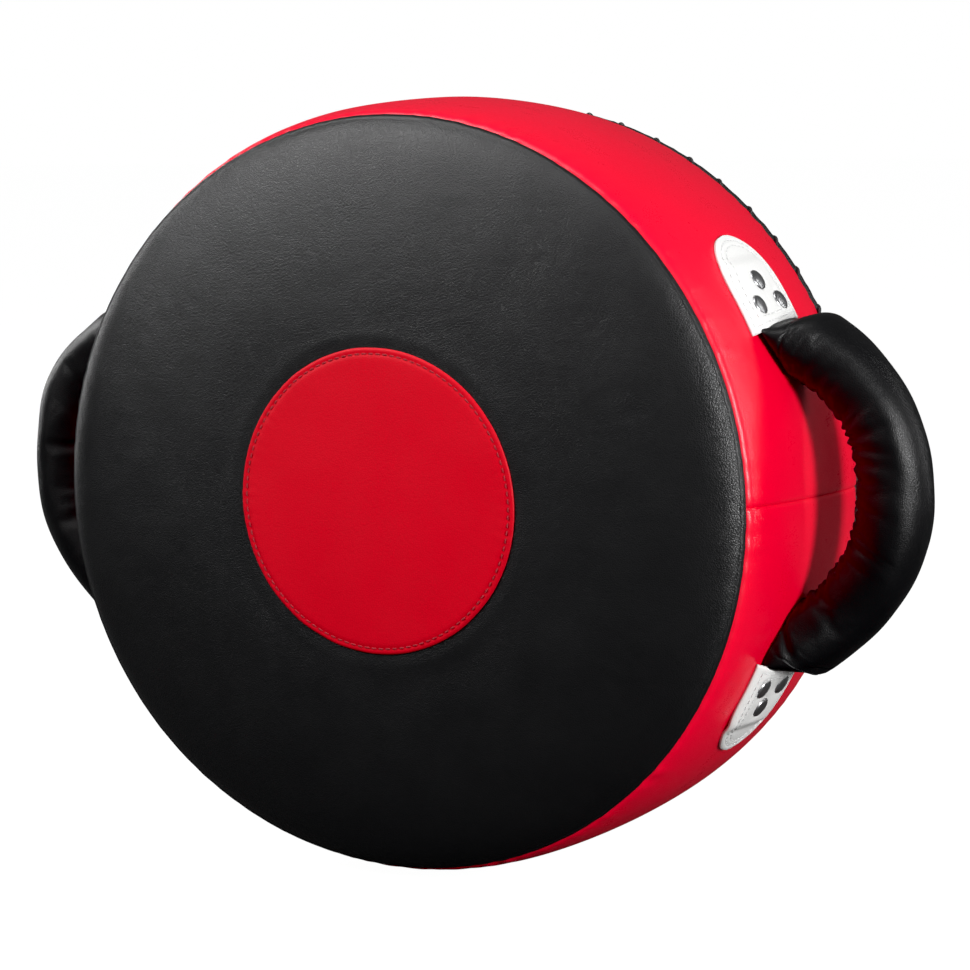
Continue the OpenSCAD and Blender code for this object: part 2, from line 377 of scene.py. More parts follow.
def cast(tree, points, directions):
    """Each point (mm) sent along its direction onto the surface, or to the nearest place."""
    hits = []
    for point, direction in zip(points, directions):
        place = tree.ray_cast(Vector(point * MM), Vector(direction))[0]
        if place is None:
            place = tree.find_nearest(Vector(point * MM))[0]
        hits.append(np.array(place) / MM)
    return np.array(hits)


def on_front(tree, radius, angle):
    """Points on a surface, reached from in front of the shield."""
    start = cylinder(radius, angle, 240.0).reshape(-1, 3)
    return cast(tree, start, np.tile([0, 1.0, 0], (len(start), 1)))


def outward_at(angle):
    return np.stack([np.cos(angle), np.zeros_like(angle), np.sin(angle)], -1)


def on_band(tree, angle, depth, height=0.0):
    """Points at a height over a surface, reached from outside the band."""
    angle, depth, height = np.broadcast_arrays(angle, depth, height)
    start = cylinder(np.full(angle.size, 245.0), angle.ravel(), depth.ravel())
    outward = outward_at(angle.ravel())
    hits = cast(tree, start, -outward) + outward * height.reshape(-1, 1)
    return hits.reshape(*angle.shape, 3)


def tube(points, radii, sides):
    """A closed tube along points, without twist."""
    tangents = np.gradient(points, axis=0)
    tangents /= np.linalg.norm(tangents, axis=1, keepdims=True)
    up = np.array([0, 0, 1.0]) if abs(tangents[0][2]) < 0.9 else np.array([1.0, 0, 0])
    across = np.cross(tangents[0], up)
    across /= np.linalg.norm(across)
    rings = []
    for point, tangent, radius in zip(points, tangents, radii):
        across = across - tangent * (across @ tangent)
        across /= np.linalg.norm(across)
        rings.append(point + radius * hoop(across, np.cross(tangent, across), sides))
    return capped(np.array(rings), points[0], points[-1])


def stitch(start, end, normal, width, height, sink):
    """A plump thread stitch lying on the surface; width and height are half sizes."""
    run = end - start
    across = np.cross(normal, run / np.linalg.norm(run))
    across /= np.linalg.norm(across)
    floor = sink + height * 0.4
    rings = []
    for share in np.linspace(0, 1, 7):
        swell = np.sqrt(np.clip(1 - (2 * share - 1) ** 4, 0.02, 1))
        arch = math.sin(math.pi * share) ** 0.6 if 0 < share < 1 else 0
        centre = start + run * share + normal * (arch * height * 0.8 - floor)
        rings.append(centre + swell * hoop(across * width, normal * height, sides=8))
    return capped(np.array(rings), start - normal * floor, end - normal * floor)


# ---------------------------------------------------------------- shader helpers
def rgba(colour, factor=1.0):
    return (*[channel * factor for channel in colour], 1)


class Shader:
    """A node tree with short ways to add nodes. An input is a value or the output feeding it."""

    def __init__(self, tree):
        self.nodes, self.links = tree.nodes, tree.links

    def feed(self, node, inputs):
        for key, value in inputs.items():
            if isinstance(value, bpy.types.NodeSocket):
                self.links.new(value, node.inputs[key])
            else:
                node.inputs[key].default_value = value

    def add(self, kind, inputs=None, **settings):
        node = self.nodes.new("ShaderNode" + kind)
        for key, value in settings.items():
            setattr(node, key, value)
        self.feed(node, inputs or {})
        return node

    def object_coords(self):
        return self.add("TexCoord").outputs["Object"]

    def noise(self, coords, **inputs):
        return self.add("TexNoise", {"Vector": coords, **inputs})

    def math(self, operation, *terms, clamp=False):
        node = self.add("Math", dict(enumerate(terms)), operation=operation, use_clamp=clamp)
        return node.outputs[0]

    def mix(self, factor, first, second, **settings):
        node = self.add("Mix", data_type="RGBA", **settings)
        self.feed(node, {"Factor": factor, "A": first, "B": second})
        return node.outputs["Result"]

    def bump(self, height, strength, distance, **more):
        inputs = {"Height": height, "Strength": strength, "Distance": distance, **more}
        return self.add("Bump", inputs).outputs["Normal"]


def new_material(name):
    mat = bpy.data.materials.new(name)
    mat.use_nodes = True
    return mat, Shader(mat.node_tree), mat.node_tree.nodes["Principled BSDF"]


# ---------------------------------------------------------------- kinds of material
def leather(name, dark, light, rough, cell, grain=0.22, crease_shade=0.25, spec=0.5, wear=0.25,
            wear_colour=None, mottle=0.5):
    """Pebbled leather; cell is the size of its grain in mm."""
    mat, shader, bsdf = new_material(name)
    coords = shader.object_coords()
    # slightly warped coordinates, so that the grain never runs in rows
    warp = shader.noise(coords, Scale=180, Detail=2)
    warped = shader.add("VectorMath", {0: warp.outputs["Color"], 1: (0.0016,) * 3, 2: coords},
                        operation="MULTIPLY_ADD").outputs[0]
    cells = shader.add("TexVoronoi", {"Scale": 1000 / cell, "Vector": warped},
                       feature="DISTANCE_TO_EDGE")
    pebble = shader.add("MapRange", {"From Max": 0.22, "Value": cells.outputs["Distance"]})
    pebble = pebble.outputs["Result"]
    fine = shader.noise(coords, Scale=2600 / cell, Detail=3).outputs["Fac"]
    marks = shader.noise(coords, Scale=38, Detail=5, Roughness=0.55).outputs["Fac"]
    broad = shader.noise(coords, Scale=11, Detail=3).outputs["Fac"]
    # colour: broad mottling, painted shade in the creases between the grain, worn convex edges
    tone = shader.math("MULTIPLY", broad, mottle)
    tone = shader.math("ADD", tone, shader.math("MULTIPLY", fine, 0.35))
    colour = shader.mix(tone, rgba(dark), rgba(light))
    # painted shade: the colour is darkened in the gaps between the grain pebbles, where the bump
    # dips
    gaps = shader.math("SUBTRACT", 1.0, pebble)
    colour = shader.mix(shader.math("MULTIPLY", gaps, crease_shade), colour, (0.35, 0.35, 0.35, 1),
                        blend_type="MULTIPLY")
    pointiness = shader.add("NewGeometry").outputs["Pointiness"]
    edge = shader.add("MapRange", {"From Min": 0.515, "From Max": 0.60, "Value": pointiness})
    worn = shader.math("MULTIPLY", edge.outputs["Result"],
                       shader.math("MULTIPLY", marks, wear * 1.6), clamp=True)
    if wear_colour is None:
        wear_colour = [min(1, channel * 1.8 + 0.02) for channel in light]
    colour = shader.mix(worn, colour, rgba(wear_colour))
    # roughness follows the grain and the handling marks
    roughness = shader.math("MULTIPLY_ADD", marks, 0.16, rough - 0.08)
    roughness = shader.math("ADD", roughness, shader.math("MULTIPLY", gaps, 0.10))
    roughness = shader.math("ADD", roughness, shader.math("MULTIPLY", worn, 0.2), clamp=True)
    height = shader.math("ADD", pebble, shader.math("MULTIPLY", fine, 0.9))
    normal = shader.bump(height, strength=grain, distance=0.0005)
    normal = shader.bump(marks, strength=0.16, distance=0.0014, Normal=normal)
    shader.feed(bsdf, {"Base Color": colour, "Roughness": roughness, "Normal": normal,
                       "Specular IOR Level": spec, "Coat Roughness": 0.35})
    return mat


def cord(name, colour, rough=0.6):
    """Twisted thread or cord."""
    mat, shader, bsdf = new_material(name)
    coords = shader.object_coords()
    twist = shader.add("TexWave", {"Scale": 1400, "Distortion": 2.0, "Vector": coords},
                       wave_type="BANDS", bands_direction="DIAGONAL")
    noise = shader.noise(coords, Scale=900)
    light = [min(1, channel * 1.5 + 0.01) for channel in colour]
    shader.feed(bsdf, {
        "Base Color": shader.mix(noise.outputs["Fac"], rgba(colour, 0.6), rgba(light)),
        "Normal": shader.bump(twist.outputs["Fac"], strength=0.5, distance=0.0004),
        "Roughness": rough})
    return mat


def metal(name, colour, rough):
    mat, shader, bsdf = new_material(name)
    coords = shader.object_coords()
    stain = shader.noise(coords, Scale=240, Detail=5).outputs["Fac"]
    fine = shader.noise(coords, Scale=1500, Detail=4).outputs["Fac"]
    shader.feed(bsdf, {
        "Base Color": shader.mix(stain, rgba(colour, 0.72), rgba(colour)),
        "Roughness": shader.math("MULTIPLY_ADD", stain, 0.14, rough),
        "Normal": shader.bump(fine, strength=0.03, distance=0.0001),
        "Metallic": 1.0})
    return mat


def foam(name, colour):
    mat, shader, bsdf = new_material(name)
    cells = shader.add("TexVoronoi", {"Scale": 420, "Vector": shader.object_coords()})
    cells = cells.outputs["Distance"]
    shader.feed(bsdf, {
        "Base Color": shader.mix(cells, rgba(colour, 0.7), rgba(colour)),
        "Normal": shader.bump(cells, strength=0.6, distance=0.001),
        "Roughness": 0.9})
    return mat


# ---------------------------------------------------------------- materials
FACE_LEATHER = leather(
    "black_leather", dark=(0.0042, 0.0042, 0.0046), light=(0.0072, 0.0072, 0.0078),
    rough=0.33, cell=1.15, grain=0.24, wear=0.20, wear_colour=(0.08, 0.08, 0.08), spec=0.42)
BACK_LEATHER = leather(
    "back_leather", dark=(0.0060, 0.0060, 0.0064), light=(0.0100, 0.0100, 0.0108),
    rough=0.50, cell=1.7, grain=0.3, wear=0.2, wear_colour=(0.07, 0.07, 0.07), spec=0.35)
HANDLE_LEATHER = leather(
    "handle_leather", dark=(0.0030, 0.0030, 0.0034), light=(0.0050, 0.0050, 0.0055),
    rough=0.34, cell=1.1, grain=0.16, wear=0.10, wear_colour=(0.03, 0.03, 0.03), spec=0.27)
RED_LEATHER = leather(
    "red_leather", dark=(0.74, 0.0006, 0.022), light=(0.88, 0.0012, 0.032), rough=0.29,
    cell=1.2, grain=0.10, crease_shade=0.10, wear=0.10, wear_colour=(0.95, 0.07, 0.10), spec=0.42,
    mottle=0.6)
TARGET_LEATHER = leather(
    "target_leather", dark=(0.50, 0.0006, 0.0095), light=(0.60, 0.0010, 0.0135), rough=0.46,
    cell=1.3, grain=0.10, crease_shade=0.12, wear=0.12, wear_colour=(0.70, 0.03, 0.05), spec=0.18)
WHITE_LEATHER = leather(
    "white_leather", dark=(0.72, 0.72, 0.71), light=(0.80, 0.80, 0.79), rough=0.40,
    cell=1.2, grain=0.10, crease_shade=0.06, wear=0.3, wear_colour=(0.62, 0.60, 0.57), spec=0.4)
STRAP_LEATHER = leather(
    "strap_leather", dark=(0.25, 0.15, 0.08), light=(0.34, 0.21, 0.12), rough=0.6, cell=1.6)
BLACK_CORD = cord("black_cord", colour=(0.012, 0.012, 0.013), rough=0.42)
WHITE_THREAD = cord("thread_white", colour=(0.72, 0.72, 0.72))
RED_THREAD = cord("thread_red", colour=(0.30, 0.002, 0.012))
BLACK_THREAD = cord("thread_black", colour=(0.015, 0.015, 0.016), rough=0.5)
RIVET_METAL = metal("rivet_metal", colour=(0.50, 0.50, 0.51), rough=0.27)
WASHER_METAL = metal("washer_metal", colour=(0.5, 0.5, 0.51), rough=0.35)
PALE_FOAM = foam("pale_foam", colour=(0.78, 0.72, 0.55))
GREY_FOAM = foam("grey_foam", colour=(0.38, 0.38, 0.40))
BOARD = foam("backing_board", colour=(0.20, 0.20, 0.21))


def paint(piece, mat):
    piece.data.materials.clear()
    piece.data.materials.append(mat)


def fix_to_shield(piece, mat, replaces=None):
    """Paints a piece and has it ride on the shield, in place of a CAD piece if one is named."""
    paint(piece, mat)
    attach(piece, "shield")
    if replaces:
        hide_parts(replaces)


# ---------------------------------------------------------------- face cover
FACE_LIFT = 0.35            # the cover lies this far over the nominal crown


def face_profile():
    """[radius, depth] from inside the seam groove, round the edge and nearly to the apex."""
    points = [(198.4, 156.6), (200.2, 157.0), (201.4, 157.7), (202.05, 158.6)]
    steps = [np.linspace(2.4, 14, 12), np.linspace(15, 40, 18), np.linspace(41.5, 88.5, 44)]
    for slope in np.radians(np.concatenate(steps)):
        radius = SEAM_R * math.cos(slope) ** 0.8 - 0.5 * math.exp(-slope / 0.08)
        points.append((radius, FRONT_D + CROWN * math.sin(slope) + FACE_LIFT))
    return np.array(points)


def build_face():
    profile = face_profile()
    rings, columns = len(profile), 384
    radius, angle, depth = turned_grid(profile, columns)
    # where the puckered edge, the soft fullness near it and the uneven top apply
    edge = bell(depth - 161.0, 5.0) * clip01((radius - 190) / 10)
    puff = clip01((depth - 157.5) / 6) * clip01((radius - 150) / 50)
    top = clip01((205 - radius) / 6) * clip01((depth - 165) / 6) * smooth01((radius - 12) / 60)
    radius = (radius + give(angle) * smooth01((radius - 120) / 80)
              + 0.12 * edge * front_pucker(angle, depth)
              + 0.15 * soft_wobble(angle, depth) * puff)
    x, z = radius * np.cos(angle), radius * np.sin(angle)
    depth = depth + top * (0.34 * plain_noise(x, z, seed=21, shortest=90, longest=220)
                           + 0.07 * plain_noise(x, z, seed=22, shortest=24, longest=60))
    apex = [[0, -(FRONT_D + CROWN + FACE_LIFT), 0]]
    verts = np.vstack([cylinder(radius, angle, depth).reshape(-1, 3), apex])
    hub, last = rings * columns, (rings - 1) * columns
    faces = grid_faces(rings, columns, closed=True)
    faces += [[last + j, hub, last + (j + 1) % columns] for j in range(columns)]
    cover = new_object("face_cover", verts, faces)
    align_normals(cover)
    face_outward(cover, centre=(0, -100, 0))
    # held at the seam and under the target
    pin = np.zeros(len(verts))
    pin[:3 * columns] = 1
    pin[3 * columns:10 * columns] = 0.6
    pin[np.hypot(verts[:, 0], verts[:, 2]) < TARGET_R + 4] = 1
    inflate(cover, pin, pressure=3.0, cap=0.5, frames=9, shrink=0.002)
    thicken(cover, thickness=1.9)
    fix_to_shield(cover, FACE_LEATHER, replaces="face_panel")
    return cover


# ---------------------------------------------------------------- side band
BAND_COLUMNS = 420
# columns beside a seam, mm from it, so that the folded edge is crisp
SEAM_COLUMNS = np.array([0.0, 0.35, 0.8, 1.4, 2.2, 3.2, 4.6])
BAND_DEPTHS = np.concatenate([
    FRONT_D - np.array([-0.2, 0.5, 1.2, 2.2, 3.5, 5.0, 7.0, 9.5, 12.5]),
    np.linspace(FRONT_D - 16, 22, 40),
    [18.0, 15.0, 12.5, 10.5, 9.0, 7.8, 6.8, RIM_D]])


def seam_angle(depth, side):
    """Angle of the seam at a depth: it runs slightly askew across the band."""
    skew = np.radians(-0.7 - 2.0 * across_band(depth))
    return skew if side > 0 else np.pi - skew


def build_band(end):
    """The upper or lower half of the band, from seam to seam."""
    half_turn = BAND_MID_R * np.pi
    pad = SEAM_COLUMNS / half_turn
    middle = np.linspace(pad[-1], 1 - pad[-1], BAND_COLUMNS - 2 * len(pad) + 2)[1:-1]
    shares = np.concatenate([pad, middle, 1 - pad[::-1]])
    depth, share = np.meshgrid(BAND_DEPTHS, shares, indexing="ij")
    start = seam_angle(depth, end)
    stop = seam_angle(depth, -end) + (0 if end > 0 else 2 * np.pi)
    angle = start + (stop - start) * share
    radius = band_surface(angle, depth)
    # groove at the front seam and tuck at the back rim
    radius = radius - 2.6 * np.exp(-np.clip(FRONT_D - depth, -1, None))
    radius = radius - 1.4 * fade(depth - RIM_D, 1.2)
    radius = radius + (black_give(angle) - rim_give(angle)) * fade(depth - RIM_D, 2.6)
    # grooves along the seams between the two halves
    from_seam = np.minimum(share, 1 - share) * half_turn
    groove = 0.95 * bell(from_seam, 0.9) + 0.35 * bell(from_seam, 3.2)
    radius = radius - groove * clip01(1.2 - np.exp(-(depth - RIM_D) / 4))
    band = new_object(f"side_band_cover_{END_NAME[end]}",
                      cylinder(radius, angle, depth).reshape(-1, 3), grid_faces(*depth.shape))
    face_outward(band, centre=(0, -80, 0))
    pin = np.zeros(depth.shape)
    pin[:6] = pin[-6:] = 0.5
    pin[:3] = pin[-3:] = 1
    pin[:, :5] = pin[:, -5:] = 1
    inflate(band, pin.ravel(), pressure=3.0, cap=0.35, frames=7, shrink=0.0)
    thicken(band, thickness=1.9)
    fix_to_shield(band, RED_LEATHER, replaces=f"side_band_{END_NAME[end]}")
    return band


# ---------------------------------------------------------------- back panel with its rolled edge
def back_profile():
    """[radius, depth] from near the middle, over the rolled edge and in under it."""
    points = [(r, 0.0 if r < 168 else 0.15 * ((r - 168) / 14) ** 2)
              for r in np.linspace(4, 182, 46)]
    points += [(185, 0.35), (188, 0.8), (190.5, 1.4), (192.6, 2.2)]
    for turn in np.radians(np.linspace(-72, 48, 16)):
        points.append((195.6 + 3.3 * math.cos(turn), 4.3 + 3.3 * math.sin(turn) * 0.75))
    return np.array(points + [(196.6, 7.0), (194.2, 7.3)])


def build_back():
    rest_depth = 0.35
    profile = back_profile()
    columns = 384
    radius, angle, depth = turned_grid(profile, columns)
    flat = clip01((184 - radius) / 20) * clip01(radius / 30)
    edge = clip01((radius - 150) / 40) * clip01((6 - depth) / 6)
    x, z = radius * np.cos(angle), radius * np.sin(angle)
    depth = (depth + flat * (rest_depth
                             + 0.22 * plain_noise(x, z, seed=31, shortest=90, longest=200)
                             + 0.08 * plain_noise(x, z, seed=32, shortest=22, longest=60))
             + edge * 0.12 * front_pucker(angle, radius / 8))
    depth = np.maximum(depth, 0.02)
    radius = (radius + 0.15 * back_pucker(angle, depth) * clip01((radius - 190) / 6)
              + black_give(angle) * smooth01((radius - 120) / 70))
    verts = np.vstack([[[0, -rest_depth, 0]], cylinder(radius, angle, depth).reshape(-1, 3)])
    faces = grid_faces(len(profile), columns, closed=True, base=1)
    faces += [[0, 1 + j, 1 + (j + 1) % columns] for j in range(columns)]
    cover = new_object("back_cover", verts, faces)
    align_normals(cover)
    face_outward(cover, centre=(0, -60, 0))
    thicken(cover, thickness=1.6)
    fix_to_shield(cover, BACK_LEATHER, replaces="back_panel")


# ---------------------------------------------------------------- target disc
# [radius, height over the face cover]: top, sewn groove, rolled edge
TARGET_PROFILE = np.array(
    [(r, 1.35 + 0.25 * (1 - (r / 76.0) ** 2)) for r in np.linspace(3, 75.5, 34)]
    + [(76.6, 1.30), (77.4, 1.15), (78.0, 0.98), (78.5, 0.92), (79.0, 0.98), (79.7, 1.12),
       (80.4, 1.10), (81.0, 0.92), (81.4, 0.62), (TARGET_R, 0.25), (81.4, -0.35)])
TARGET_STITCHES = 118
TARGET_STITCH_R = 78.4
TARGET_STITCH_SHARE = 0.72      # thread's share of the stitch pitch


def build_target(face):
    columns = 256
    radius, angle, height = turned_grid(TARGET_PROFILE, columns)
    height = height + 0.10 * front_pucker(angle, radius * 0.2) * clip01((radius - 70) / 8)
    radius = radius + 0.08 * soft_wobble(angle, 0.0) * clip01((radius - 60) / 20)
    hits = on_front(tree_of(face), radius, angle)
    centre = hits[:columns].mean(0)
    rings = hits.reshape(*radius.shape, 3)
    rings[..., 1] -= height
    disc = new_object("target_cover", *capped(rings, centre + np.array([0, -1.6, 0]),
                                              centre + np.array([0, 0.35, 0])))
    align_normals(disc)
    fix_to_shield(disc, TARGET_LEATHER, replaces="target_disc")
    # stitches along the groove
    tree = tree_of(disc)
    pitch = 2 * np.pi / TARGET_STITCHES
    parts = []
    for i in range(TARGET_STITCHES):
        start = 2 * np.pi * i / TARGET_STITCHES
        ends = np.array([start, start + pitch * TARGET_STITCH_SHARE])
        parts.append(stitch(*on_front(tree, TARGET_STITCH_R, ends), np.array([0, -1.0, 0]),
                            width=0.42, height=0.38, sink=-0.16))
    thread = new_object("target_stitches", *join_parts(parts))
    fix_to_shield(thread, RED_THREAD)


# ---------------------------------------------------------------- whip lacing over the back rim
LACE_TURNS = 56
LACE_R = 198.0
# [radius, depth]: out of the band, over the rim, into the back panel
LACE_PATH = np.array([(196.0, 12.4), (198.7, 11.4), (199.5, 9.4), (199.6, 6.6), (199.1, 3.6),
                      (197.0, 1.3), (194.3, 0.9), (191.8, 0.9), (190.2, 3.2)])


def build_lacing():
    share = np.linspace(0, 1, 17)
    path = along(LACE_PATH, np.linspace(0, 1, len(LACE_PATH)), share).T
    round_off(path, passes=2)
    radius, depth = path.T
    parts = []
    for i in range(LACE_TURNS):
        draw = np.random.default_rng(500 + i)
        middle = 2 * np.pi * (i + 0.15 + draw.uniform(-0.05, 0.05)) / LACE_TURNS
        advance = draw.uniform(17.0, 19.5) / LACE_R
        angle = middle + advance * (share - 0.5)
        thickness = 0.95 + 0.06 * np.sin(share * 9 + draw.uniform(0, 6))
        points = cylinder(radius + black_give(angle), angle, depth)
        parts.append(tube(points, thickness, sides=12))
    lacing = new_object("edge_lacing_cord", *join_parts(parts))
    fix_to_shield(lacing, BLACK_CORD, replaces="edge_lacing")


# ---------------------------------------------------------------- handles
HANDLE_RINGS, HANDLE_SIDES = 300, 72
TAIL_ANGLES = np.linspace(24.4, 27.6, 6)        # degrees, for the upper end
TAIL_RADII = np.array([210.5, 210.1, 209.8, 209.6, 209.5, 209.4])


def handle_tail(end):
    """[x, z] of an end that runs on along the band, under its patch."""
    turn = np.radians(TAIL_ANGLES) + np.radians(END_ANGLE[end] - END_ANGLE[1])
    return np.stack([TAIL_RADII * np.cos(turn), end * TAIL_RADII * np.sin(turn)], -1)


def centre_line():
    """[x, z] of the right handle's centre line, from the lower root to the upper."""
    turn = np.radians(np.linspace(-47.5, 47.5, 400))
    power = 2 / HANDLE_POWER
    x = HANDLE_X + (HANDLE_REACH - HANDLE_X) * np.abs(np.cos(turn)) ** power
    z = HANDLE_HALF_HEIGHT * np.sign(turn) * np.abs(np.sin(turn)) ** power
    clear = np.hypot(x, z) > 212.5
    grip = np.stack([x[clear], z[clear]], -1)
    path = np.vstack([handle_tail(-1)[::-1], grip, handle_tail(1)])
    arc = arc_length(path)
    path = along(path, arc, np.linspace(0, arc[-1], HANDLE_RINGS)).T
    round_off(path, passes=14)
    return path


def handle_folds(run, turn, length, side):
    """Height of the leather's folds; run is along the handle, turn is from the inner seam."""
    draw = np.random.default_rng(70 + (side > 0))
    from_seam = np.abs(turn)
    folds = np.zeros_like(run)
    # gathers: leather bunched along the inner seam, fading out towards the sides
    gathers, place = [], 24.0
    while place < length - 24:
        gathers.append(place)
        place += draw.uniform(4.6, 9.5)
    gathers = np.array(gathers)
    for i, place in enumerate(gathers):
        deep = draw.uniform(0.8, 2.6)
        lean = draw.uniform(-5.0, 5.0)
        reach = draw.uniform(0.45, 1.5) if side > 0 else draw.uniform(0.4, 1.0)
        skew = draw.uniform(-0.25, 0.25)
        width = draw.uniform(1.1, 2.2)
        curve = place + lean * turn + 1.4 * np.sin(turn * 2 + i)
        folds -= (deep * bell(run - curve, width * (1 + 0.5 * from_seam))
                  * bell(turn - skew, reach))
    # puffs between them
    for place in (gathers[:-1] + gathers[1:]) / 2:
        high = draw.uniform(0.3, 1.4)
        folds += high * bell(run - place, 2.6) * bell(from_seam, draw.uniform(0.4, 0.9))
    # a few long soft folds where the grip bends into its roots
    for place in (52.0, 63.0, length - 66.0, length - 52.0):
        lean = draw.uniform(-7, 7)
        folds -= (draw.uniform(0.5, 1.1) * bell(run - place - lean * turn, 3.0)
                  * bell(from_seam - 0.9, 0.9))
    return folds


def rest_on_band(rings, near_end):
    """Pushes out whatever would sink into the band, and blends it softly into the rest."""
    blend = 0.22
    radius = np.hypot(rings[..., 0], rings[..., 2])
    rest = band_r(-rings[..., 1]) + 0.45 + np.where(near_end < 13, -0.2, 0.0)
    scale = (rest + blend * np.logaddexp(0, (radius - rest) / blend)) / radius
    rings[..., 0] *= scale
    rings[..., 2] *= scale


def handle_thread(name, line, outward):
    """Stitches along the inner seam."""
    arc = arc_length(line)
    parts = []
    place = 34.0
    while place < arc[-1] - 36:
        start, end = along(line, arc, [place, place + 3.0]).T
        ring = min(int(np.searchsorted(arc, place)), len(line) - 1)
        parts.append(stitch(start, end, -outward[ring], width=0.5, height=0.45, sink=-0.35))
        place += 4.2
    thread = new_object(f"handle_{name}_seam_thread", *join_parts(parts))
    paint(thread, BLACK_THREAD)
    return thread


def build_handle(side):
    """Shaped as the right handle, then mirrored in x for the left."""
    name = SIDE_NAME[side]
    path = centre_line()
    arc = arc_length(path)
    length = arc[-1]
    tangent = np.gradient(path, axis=0)
    tangent /= np.linalg.norm(tangent, axis=1, keepdims=True)
    out_x, out_z = tangent[:, 1], -tangent[:, 0]        # away from the body
    near = np.minimum(arc, length - arc)
    x, z = path.T
    if side < 0:    # the left grip stands out in its upper half and in at its lower half
        x = x + 4.4 * bell(z - 46, 21) - 4.2 * bell(z + 60, 26)
    else:           # the right one hangs a little at its lower end
        z = z - 3.6 * bell(z + 98, 20) * smooth01((near - 13.0) / 14.0)
    # flat under the patch, then filling out into a round grip, sooner at the lower end
    low = np.where(arc < length / 2, 1.0, 0.0)
    filled = smooth01((near - 8.5) / (27.0 - 10.0 * low))
    half_w = (22.0 + 7.0 * smooth01((near - 6) / 11.0)
              + (GRIP_R - 29.0) * smooth01((near - 16) / (62.0 - 8.0 * low)))
    half_h = 1.7 + (GRIP_R - 1.7) * filled ** 0.9
    # the roots lean forward and are narrower on their back side
    lean = 5.0 * (1 - smooth01((near - 6) / 44.0))
    tuck = 7.0 * (1 - smooth01((near - 9) / 16.0))
    # round each ring, 0 is outward and pi is the sewn inner side
    run, around_grip = np.meshgrid(arc, around(HANDLE_SIDES), indexing="ij")
    near, filled, half_w, half_h, lean, tuck, x, z, out_x, out_z = (
        values[:, None] for values in
        (near, filled, half_w, half_h, lean, tuck, x, z, out_x, out_z))
    cos, sin = np.cos(around_grip), np.sin(around_grip)
    turn = around_grip - np.pi
    from_seam = np.abs(turn)
    half_w = half_w - tuck * smooth01(sin / 0.4)
    seam = -1.3 * bell(from_seam, 0.075) + 0.35 * bell(from_seam - 0.2, 0.10)
    uneven = (0.30 * np.sin(run / 23.0 + 2.1 * sin + 1.0 + side)
              + 0.20 * np.sin(run / 11.0 + 3 * around_grip + 2 * side)
              + 0.12 * np.sin(run / 4.7 + 5 * around_grip))
    relief = handle_folds(run, turn, length, side) + seam
    relief = relief * (0.25 + 0.75 * filled) + uneven * filled
    # the padding sags a little towards the body in the middle of the grip
    sag = 1.2 * bell(turn, 0.9) * filled * bell(z, 45.0)
    height = half_h + relief * np.abs(cos) + sag
    width = half_w + relief * np.abs(sin)
    rings = np.stack([x + out_x * height * cos,
                      -HANDLE_D - lean + width * sin,
                      z + out_z * height * cos], -1)
    rest_on_band(rings, near)
    rings[..., 0] *= side
    hubs = [[[side * x[i, 0], -HANDLE_D, z[i, 0]]] for i in (0, -1)]
    skin = new_object(f"handle_{name}_skin", *capped(rings, *hubs, flip=True))
    align_normals(skin)
    # held at the roots and along the seam
    pin = np.where((near < 24) | (from_seam < 0.12), 1.0, 0.0)
    inflate(skin, np.append(pin, [1.0, 1.0]), pressure=5.0, cap=1.1, frames=9, shrink=-0.02,
            tension=8, bend=0.25)
    paint(skin, HANDLE_LEATHER)
    line = vert_places(skin.data)[:-2].reshape(rings.shape)[:, HANDLE_SIDES // 2]
    outward = np.hstack([side * out_x, np.zeros_like(out_x), out_z])
    thread = handle_thread(name, line, outward)
    for piece in (skin, thread):
        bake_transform(piece)
    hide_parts(*[f"handle_{name}_{part}" for part in ("cover", "padding", "strap")])


# ---------------------------------------------------------------- white patches
# On a patch, past is mm past the handle end and forward is mm forward of the patch's middle.
def patch_half_width(past, end, inset=0.0):
    """Half width of the arch: straight sides for 20 mm, then rounding in to its tip."""
    straight, length = 20.0, PATCH_L[end] - inset
    share = clip01((past - straight) / (length - straight))
    return (PATCH_W[end] / 2 - inset) * (1 - share ** 2.3) ** (1 / 2.1)


def patch_place(side, end, past, forward):
    """Angle and depth of a place on a patch, whose straight edge is slightly skewed."""
    past = past - 0.075 * (forward - 2.0) * clip01(1 - past / 57.0)
    angle = end * (np.radians(END_ANGLE[end]) + past / BAND_MID_R)
    depth = HANDLE_D + PATCH_FORWARD[end] + forward
    return (np.pi - angle if side < 0 else angle), depth


def patch_underside(past, forward, end):
    """Height over the band: it lies over the strap end and the flattened handle end."""
    forward = forward + PATCH_FORWARD[end]
    beside_strap = np.abs(forward - STRAP_FORWARD[end]) - 19.3
    strap = 2.75 * smooth01((44.0 - past) / 9.0) * smooth01(1 - beside_strap / 6.5)
    beside_grip = np.abs(forward - 5.0) - 23.0
    grip = 1.9 * smooth01((16.0 - past) / 12.0) * smooth01(1 - beside_grip / 7.0)
    return 0.12 + strap + grip


def from_patch_edge(past, forward, end):
    """Distance from the patch's outline."""
    sides = np.linspace(0, PATCH_L[end] - 0.01, 300)
    half = patch_half_width(sides, end)
    base = np.linspace(-PATCH_W[end] / 2, PATCH_W[end] / 2, 120)
    outline = np.concatenate([np.stack([sides, half], -1), np.stack([sides, -half], -1),
                              np.stack([np.zeros(120), base], -1)])
    places = np.stack([past, forward], -1).reshape(-1, 2)
    squares = ((places[:, None, :] - outline[None]) ** 2).sum(-1)
    return np.sqrt(squares).min(1).reshape(past.shape)


